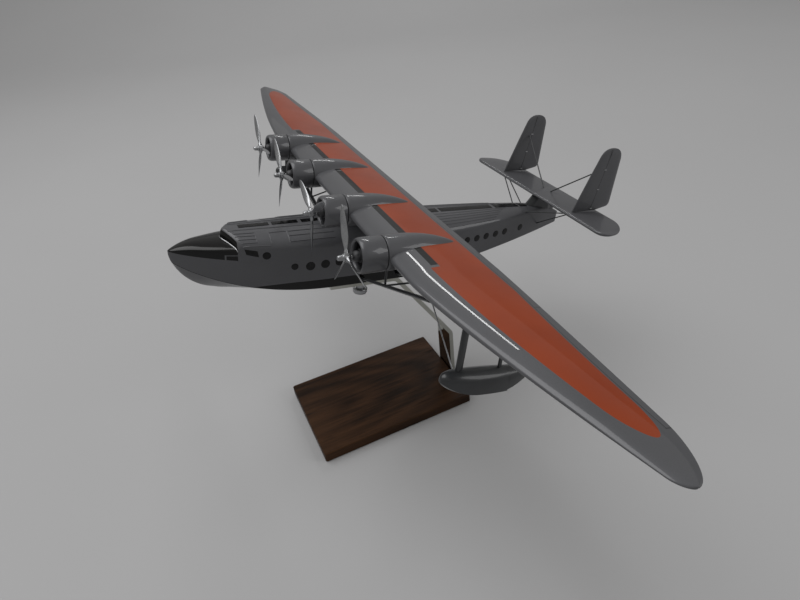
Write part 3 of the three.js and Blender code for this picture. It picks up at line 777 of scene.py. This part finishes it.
def make_windows():
    for label, side in SIDES:
        panes = [side_disc(-21.9, -29.5, 2.35, 0.02, side)]
        panes += [side_disc(y, z, r, 0.02, side) for y, z, r in FRONT_PORTS + REAR_PORTS]
        pilot_pane = [(-33.9, -25.1), (-26.9, -26.4), (-26.2, -30.2), (-32.9, -28.5)]
        panes.append(side_panel(pilot_pane, 0.1, side))
        build(f"windows_{label}", combined(panes), "black", "dark_lacquer")


def rib(start, end, lift, width, side):
    """A low rounded moulding along the hull's side between two (y, z) points."""
    turns = [2 * math.pi * i / 8 for i in range(8)]
    rings = []
    for s in spread(0, 1, 41):
        y, z = mix(start[0], end[0], s), mix(start[1], end[1], s)
        rings.append([hull_skin(y, z + math.sin(t) * width / 2, math.cos(t) * lift, side) for t in turns])
    return loft(rings)


def roof_rib(side, path_xy, radius):
    """A half-sunk wire along the rounded top through (x, y) points."""
    path = []
    for (xa, ya), (xb, yb) in zip(path_xy, path_xy[1:]):
        for t in spread(0, 1, 24):
            x, y = mix(xa, xb, t), mix(ya, yb, t)
            path.append((side * x, y, hull_surface(x, y)))
    clean = [p for i, p in enumerate(path) if i == 0 or p != path[i - 1]]
    return tube(clean, radius, 8)


ROOF_RIBS = (
    ([(4.4, -40.5), (5.8, 19)], 0.34),
    ([(7.6, -38.5), (8.3, -26.6)], 0.34),
    ([(9.8, -37.8), (10.6, -26.6)], 0.34),
    ([(12.0, -36.6), (12.9, -26.6)], 0.34),
    ([(14.0, -35), (14.9, -26.6)], 0.3),
    ([(15.2, -34.5), (17.2, -19.5)], 0.3),
    ([(9.4, -26.5), (15, -26.5)], 0.22),
    ([(9.6, -18.7), (9.6, -8.4), (17.4, -8.2)], 0.3),
    ([(9.6, -18.7), (17, -18.7)], 0.22),
    ([(9.9, -7.6), (10.2, 19)], 0.34),
    ([(13.4, -7.6), (13.8, 19)], 0.34),
    ([(17.0, -7.6), (17.4, 19)], 0.34),
)


def make_mouldings():
    for label, side in SIDES:
        parts = [roof_rib(side, path, radius) for path, radius in ROOF_RIBS]
        for share in (0.3, 0.44, 0.57, 0.69, 0.8, 0.9):
            path = [(share * hull_half(y), y) for y in spread(60, 156 - 24 * share, 14)]
            parts.append(roof_rib(side, path, 0.3))
        parts.append(rib((-37, -32.9), (-21, -32.5), 0.2, 0.4, side))
        build(f"hull_mouldings_{label}", combined(parts), "silver", "silver_lacquer")


# ---- Wing ----


def make_wing():
    half = spread(0, 224, 90) + [224 + (TIP_X - 224) * math.sin(t) for t in spread(0.1, math.pi / 2, 26)][:-1]
    half.append(TIP_X - 0.02)
    stations = [-x for x in reversed(half[1:])] + half
    shares = [0.5 * (1 - math.cos(t)) for t in spread(0, math.pi, 48)]
    rings = []
    for x in stations:
        upper = [wing_point(x, c, 1) for c in shares]
        lower = [wing_point(x, c, -1) for c in reversed(shares[1:])]
        rings.append(upper + lower)
    build("wing_skin", loft(rings), "wing", "orange_lacquer", "wing", sharp=50)


# ---- Engines ----

NACELLE_RADIUS = 8.9
NACELLE_TAPER, NACELLE_END = 24, 60.5


def nacelle_radius(y):
    aft = clamp01((y - NACELLE_TAPER) / (NACELLE_END - NACELLE_TAPER))
    return NACELLE_RADIUS * (1 - aft**2) ** 0.75


def make_nacelle(number, x):
    profile = [(0, 18.25), (8.3, 18.25), (8.75, 18.35), (NACELLE_RADIUS, 18.65)]
    profile += [(nacelle_radius(y), y) for y in spread(20, 59, 40)]
    profile += [(nacelle_radius(60.2), 60.2), (0, NACELLE_END)]
    skin = turned(profile, 72, (x, 0, 0))
    build(f"nacelle_fairing_{number}", skin, "silver", "silver_lacquer", f"nacelle_{number}")


def make_cowling(number, x):
    front, rear, radius, mouth = 5.0, 17.75, NACELLE_RADIUS, 6.7
    lip = [
        (mouth + 1.05 - 1.05 * math.cos(t), front + 1.6 - 1.6 * math.sin(t))
        for t in spread(-0.5, math.pi / 2, 10)
    ]
    shoulder = [
        (radius - 1.15 + 1.15 * math.sin(t), front + 2.6 - 2.6 * math.cos(t))
        for t in spread(0.08, math.pi / 2, 12)
    ]
    profile = lip + shoulder + [(radius, rear - 0.25), (radius - 0.15, rear), (radius - 0.7, rear)]
    profile += [(radius - 0.7, front + 3.2), (mouth + 0.45, front + 2.6), lip[0]]
    skin = turned(profile, 96, (x, 0, 0))
    build(f"cowl_ring_{number}", skin, "silver", "silver_metal", f"cowling_{number}")


def make_engine(number, x):
    """Gearcase, crankcase and a ring of finned cylinders with their pushrods."""
    cylinders, fins = 9, 9
    middle = Vector((x, 10, 0))
    core = [(0, 3), (1.5, 3), (2.1, 3.3), (2.7, 4.4), (2.9, 6.0), (2.9, 6.4), (3.3, 6.6), (3.3, 7.4)]
    core += [(3.0, 7.6), (3.0, 8.4), (3.7, 8.8), (3.7, 12.2), (5.4, 12.6), (5.4, 17.3), (0, 17.3)]
    parts = [turned(core, 48, (x, 0, 0))]
    for i in range(cylinders):
        tilt = Matrix.Rotation(2 * math.pi * i / cylinders, 4, "Y")
        profile = [(0, 3.2), (1.3, 3.2)]
        for k in range(fins):
            r = 3.5 + k * 0.4
            profile += [(1.0, r), (1.5, r + 0.07), (1.5, r + 0.23), (1.0, r + 0.3)]
        profile += [(1.2, 7.15), (1.2, 7.5), (0.6, 7.7), (0, 7.7)]
        pieces = [turned(profile, 14, axis="z")]
        for sign in (-1, 1):
            pieces.append(tube([(sign * 0.75, -1.9, 3.4), (sign * 0.62, -1.6, 7.1)], 0.16, 8))
        for points, faces in pieces:
            parts.append(([tuple(tilt @ Vector(p) + middle) for p in points], faces))
    build(f"engine_{number}", combined(parts), "engine", "engine_black", f"radial_engine_{number}")


BLADE_LENGTH = 24.7


def blade_rings():
    """Sections of one blade from hub to tip, twisted less and less."""
    rings = []
    for share in spread(0.05, 0.995, 30) + [1.0]:
        tip = clamp01((share - 0.5) / 0.5)
        chord = (1.3 + 2.6 * smooth((share - 0.05) / 0.4)) * math.sqrt(max(0.004, 1.0 - tip**2.4))
        thick = (1.25 - 0.85 * share) * (0.4 + 0.6 * math.sqrt(max(0.01, 1 - tip**4)))
        twist = math.radians(52 - 34 * share)
        ring = []
        for i in range(16):
            turn = 2 * math.pi * i / 16
            across = math.cos(turn) * chord / 2
            deep = math.sin(turn) * thick / 2
            x = across * math.cos(twist) - deep * math.sin(twist)
            y = across * math.sin(twist) + deep * math.cos(twist)
            ring.append((x, y, share * BLADE_LENGTH))
        rings.append(ring)
    return rings


# Degrees that each propeller's first blade stands from upright.
PROP_ANGLES = (-41, -44, -65, -23)


def make_propeller(number, x):
    hub = [(0, -5), (0.6, -4.95), (1.1, -4.6), (1.4, -4.0), (1.45, -2.2), (1.7, -1.9), (2.0, -1.6)]
    hub += [(2.0, 1.2), (1.8, 1.6), (1.45, 1.8), (0.9, 1.8), (0.9, -0.7), (0, -0.7)]
    parts = [turned(hub, 40, (x, 0, 0))]
    rings = blade_rings()
    cuff = [(0, 0.5), (1.25, 0.5), (1.25, 2.6), (1.05, 3.0), (0.85, 4.2), (0, 4.2)]
    for i in range(3):
        tilt = Matrix.Rotation(math.radians(PROP_ANGLES[number - 1]) + 2 * math.pi * i / 3, 4, "Y")
        for points, faces in (loft(rings), turned(cuff, 20, axis="z")):
            parts.append(([tuple(tilt @ Vector(p) + Vector((x, 0, 0))) for p in points], faces))
    names = f"propeller_blades_{number}", f"propeller_{number}"
    build(names[0], combined(parts), "bright", "silver_metal", names[1], body=f"{names[1]}_body")


# ---- Struts and floats ----


def make_struts():
    for label, side in SIDES:
        start_front, end_front = Vector((20.7 * side, 37.0, -51.2)), Vector((128.5 * side, 21.9, -1.2))
        start_rear, end_rear = Vector((20.7 * side, 61.7, -51.2)), Vector((125.8 * side, 46.7, -1.8))
        pairs = (("front", start_front, end_front), ("rear", start_rear, end_rear))
        for name, start, end in pairs:
            skin = bar(start, end, 3.4, 1.5, teardrop=True)
            build(f"strut_{name}_{label}", skin, "dark", "dark_metal", f"main_strut_{name}_{label}")
        knot = start_front.lerp(end_front, 0.412)
        rear_knot = start_rear.lerp(end_rear, 0.49)
        skin = bar(knot, (knot.x, knot.y, wing_height(knot.x, knot.y, -1) + 0.1), 1.4, 0.9)
        build(f"jury_upright_{label}", skin, "dark", "dark_metal", f"jury_strut_upright_{label}")
        skin = bar(knot, rear_knot, 1.4, 0.9)
        build(f"jury_cross_{label}", skin, "dark", "dark_metal", f"jury_strut_cross_{label}")


FLOAT_X = 140


def float_ring(share):
    nose, tail, step, ridge, depth, half_beam = 25, 81, 61, -33.8, 14.6, 6
    y = nose + (tail - nose) * share
    bow = math.sqrt(1 - (1 - clamp01(share / 0.35)) ** 2)
    stern = clamp01((y - step) / (tail - step))
    half = max(half_beam * bow * (1 - clamp01((share - 0.4) / 0.6) ** 2.2), 0.35)
    top = ridge - 5.6 * (1 - bow) ** 2 - 0.15 * (y - 37)
    deep = depth * bow * (1 - 0.9 * stern**1.3) - (1 if y > step else 0)
    section = ((0.5, 0.88), (1.0, 0.75), (1.0, 0.6), (0.98, 0.4))
    section += ((0.92, 0.28), (0.8, 0.17), (0.55, 0.08), (0.2, 0.02))
    right = [(out * half, top - down * deep) for out, down in section]
    left = [(-x, z) for x, z in reversed(right)]
    ring = [(0, top - deep)] + right + [(0, top)] + left
    return [(x, y, z) for x, z in ring]


def make_floats():
    for label, side in SIDES:
        shares = [0.35 * (1 - math.cos(t)) for t in spread(0.06, math.pi / 2, 24)] + spread(0.37, 0.642, 20)
        shares += [0.646] + spread(0.66, 1.0, 24)
        centre = FLOAT_X * side
        rings = [[(x + centre, y, z) for x, y, z in float_ring(s)] for s in shares]
        build(f"float_{label}", loft(rings), "dark", "dark_lacquer", f"wing_float_{label}", sharp=40)
        for name, y, low, chord, thick in (("front", 34.6, -34.1, 3.9, 1.8), ("rear", 57.5, -37.5, 2.2, 1.2)):
            top = (centre, y - (1 if name == "rear" else 0), wing_height(centre, y, -1) + 0.1)
            skin = bar((centre, y, low), top, chord, thick, teardrop=True)
            build(f"float_leg_{name}_{label}", skin, "dark", "dark_metal", f"float_strut_{name}_{label}")
        rod_x, rod_y = 103.5 * side, 31.5
        rod_top = (rod_x, rod_y, wing_height(rod_x, rod_y, -1))
        skin = tube([(centre - 2.7 * side, 33.1, -35), rod_top], 0.33)
        build(f"float_rod_{label}", skin, "bright", "polished_metal", f"float_bracing_rod_{label}")


# ---- Tail ----

TAIL_TIP = 74.93
TAIL_Z = -12.2
FIN_X = 40


def tail_edges(x):
    """Leading and trailing edge of the tailplane; the tip is rounded more behind than in front."""
    nose = clamp01((abs(x) - 66) / (75 - 66))
    rear = clamp01((abs(x) - 56) / (75 - 56))
    return 179 - 8 * (1 - nose**2.2) ** (1 / 2.2), 179 + 18.5 * (1 - rear**1.7) ** (1 / 1.7)


def tail_half(c):
    """Half thickness of the tailplane at a share of its chord: round in front, thin behind."""
    nose = math.sqrt(1 - (1 - clamp01(c / 0.07)) ** 2)
    rear = math.sqrt(1 - clamp01((c - 0.97) / 0.03) ** 2)
    return 1.19 * nose * (1 - 0.62 * clamp01((c - 0.3) / 0.7) ** 1.3) * rear


def make_tailplane():
    shares = [0.07 * (1 - math.cos(t)) for t in spread(0, math.pi / 2, 9)] + spread(0.1, 0.96, 22)
    shares += [0.97 + 0.03 * math.sin(t) for t in spread(0, math.pi / 2, 7)]
    half = spread(0, 56, 24) + [56 + (TAIL_TIP - 56) * math.sin(t) for t in spread(0.08, math.pi / 2, 26)]
    rings = []
    for x in [-v for v in reversed(half[1:])] + half:
        front, back = tail_edges(x)
        thin = min(1.0, 0.16 + (back - front) / 20)
        upper = [(x, mix(front, back, c), TAIL_Z + thin * tail_half(c)) for c in shares]
        lower = [(x, mix(front, back, c), TAIL_Z - thin * tail_half(c)) for c in reversed(shares[1:-1])]
        rings.append(upper + lower)
    build("tailplane_skin", loft(rings), "silver", "silver_lacquer", "tailplane", sharp=60)


def fin_outline():
    """(y, z) round the fin and rudder, clockwise from the base's front corner."""

    def curve(*corners, count=12):
        a, b, c = (Vector(corner) for corner in corners)
        return [tuple(a.lerp(b, t).lerp(b.lerp(c, t), t)) for t in spread(0, 1, count)]

    base, top = -10.9, 31.2
    outline = [(175, base), (179, 1), (183, 13)]
    outline += curve((187.4, 25.5), (189.4, top), (196.2, top))
    outline += curve((196.2, top), (204.2, top), (204.9, 24))[1:]
    outline += [(205.2, 14), (205.5, 4)]
    outline += curve((205.8, -5.5), (205.8, -8.2), (203.5, -8.8), count=5)
    outline += [(194.5, base)]
    return outline


def make_fins():
    outline = fin_outline()
    centre = (192.5, 8)
    for label, side in SIDES:
        rings = []
        for sign in (1, -1):
            levels = ((0.0, 1.1), (0.55, 1.1), (0.82, 0.95), (0.95, 0.62), (1.0, 0.2))
            for share, thick in (levels if sign == 1 else tuple(reversed(levels))):
                x = (FIN_X + sign * thick) * side
                rings.append([(x, mix(centre[0], y, share), mix(centre[1], z, share)) for y, z in outline])
        skin = loft(rings, caps=False)
        build(f"fin_rudder_{label}", skin, "silver", "silver_lacquer", f"fin_{label}", sharp=50)
        seams, fittings = [], []
        for sign in (1, -1):
            x = (FIN_X + sign * 1.06) * side
            seams.append(tube([(x, 189.4, -10.5), (x, 192.4, 11), (x, 195.2, 30.2)], 0.13, 6))
            for y, z in ((193.3, 17.3), (191.4, 4.1), (189.8, -9.0)):
                fittings.append(bar((x, y - 0.9, z), (x, y + 0.9, z), 0.7, 0.7, 10))
        build(f"rudder_seam_{label}", combined(seams), "engine", "dark_metal")
        build(f"rudder_hinges_{label}", combined(fittings), "bright", "silver_metal")


def make_tail_braces():
    for label, side in SIDES:
        rods = (
            ("fin_stay", "fin_brace", (4, 185.6, -11.2), (38.85, 191.4, 16.3), 0.42),
            ("tail_stay_front", "tailplane_brace_front", (3.3, 162, -24.4), (36, 173.5, -13.3), 0.4),
            ("tail_stay_rear", "tailplane_brace_rear", (3.6, 178, -35.4), (37, 177, -13.4), 0.4),
        )
        for name, node, start, end, radius in rods:
            path = [(x * side, y, z) for x, y, z in (start, end)]
            build(f"{name}_{label}", tube(path, radius), "dark", "dark_metal", f"{node}_{label}")


# ---- Stand ----


def dress_cad():
    """Carried-over CAD nodes take the finished materials."""
    looks = {
        "base_plate": "walnut",
        "stand_strip": "mirror",
        "strip_screw_left": "bright",
        "strip_screw_right": "bright",
        "keel_thumbscrew": "bright",
        "wing_pylon": "dark",
        "tail_pylon": "dark",
    }
    for number in range(1, 5):
        looks[f"firewall_{number}"] = "engine"
        looks[f"propeller_pin_{number}"] = "bright"
    for node, look in looks.items():
        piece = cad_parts[node]
        piece.data.materials.clear()
        piece.data.materials.append(LOOKS[look])


# ---- Floor, light and camera ----


def make_stage():
    """Paper that lies flat under the model and curves up far behind it."""
    bend, radius, gap = 1.2, 0.8, 0.0002
    profile = [(-5.0, 0.0), (bend, 0.0)]
    for t in spread(0.1, 1.5, 16):
        profile.append((bend + radius * math.sin(t), radius - radius * math.cos(t)))
    mesh = bpy.data.meshes.new("floor")
    across = Vector((0.290, 0.754, 0)).normalized()
    back = Vector((-0.754, 0.290, 0)).normalized()
    points = []
    for y, z in profile:
        for x in (-6.0, 6.0):
            points.append(across * x + back * y + Vector((0, 0, z - gap)))
    faces = [(2 * i, 2 * i + 1, 2 * i + 3, 2 * i + 2) for i in range(len(profile) - 1)]
    mesh.from_pydata(points, [], faces)
    mesh.polygons.foreach_set("use_smooth", [True] * len(mesh.polygons))
    look = Look("floor_paper", roughness=0.75, specular=0.2, place=WORLD)
    look.colour(look.blend(look.noise(300, 2, 0.5), (0.405, 0.405, 0.41), (0.43, 0.43, 0.435)))
    mesh.materials.append(look.material)
    floor = bpy.data.objects.new("floor", mesh)
    bpy.context.scene.collection.objects.link(floor)


def area_light(name, place, target, size, power):
    lamp = bpy.data.lights.new(name, "AREA")
    lamp.shape = "RECTANGLE"
    lamp.size, lamp.size_y = size
    lamp.energy = power
    holder = bpy.data.objects.new(name, lamp)
    bpy.context.scene.collection.objects.link(holder)
    holder.location = place
    holder.rotation_euler = (Vector(target) - Vector(place)).to_track_quat("-Z", "Y").to_euler()


def make_light():
    world = bpy.data.worlds.new("studio")
    bpy.context.scene.world = world
    world.use_nodes = True
    world.node_tree.nodes["Background"].inputs["Color"].default_value = (1.0, 0.99, 0.97, 1)
    world.node_tree.nodes["Background"].inputs["Strength"].default_value = 0.35
    area_light("broad_panel", (-0.28, -0.42, 1.54), (0.05, 0, 0.1), (1.32, 1.32), 15.3)
    area_light("rear_fill", (1.1, 1.5, 0.9), (0, 0.1, 0.1), (0.8, 0.8), 5.5)
    area_light("ceiling_tube", (-1.63, 1.12, 1.5), (-1.46, 0.2, 0), (0.94, 0.1), 4.5)


def make_camera():
    data = bpy.data.cameras.new("camera")
    data.lens = 26.34
    data.sensor_width = 36
    data.clip_start = 0.01
    camera = bpy.data.objects.new("camera", data)
    bpy.context.scene.collection.objects.link(camera)
    forward = Vector((-0.75377, 0.28980, -0.58979))
    camera.location = Vector((312.6, -94.1, 328.3)) * MM
    turn = forward.to_track_quat("-Z", "Y")
    roll = Matrix.Rotation(math.radians(-6.877), 3, "Z")
    camera.rotation_euler = (turn.to_matrix() @ roll).to_euler()
    bpy.context.scene.camera = camera


make_camera()
make_stage()
make_light()
make_hull()
make_cockpit()
make_windows()
make_mouldings()
make_wing()
for engine, engine_x in enumerate(ENGINE_X, start=1):
    make_nacelle(engine, engine_x)
    make_cowling(engine, engine_x)
    make_engine(engine, engine_x)
    make_propeller(engine, engine_x)
make_struts()
make_floats()
make_tailplane()
make_fins()
make_tail_braces()
dress_cad()

scene = bpy.context.scene
scene.view_settings.view_transform = "Standard"
scene.view_settings.look = "None"
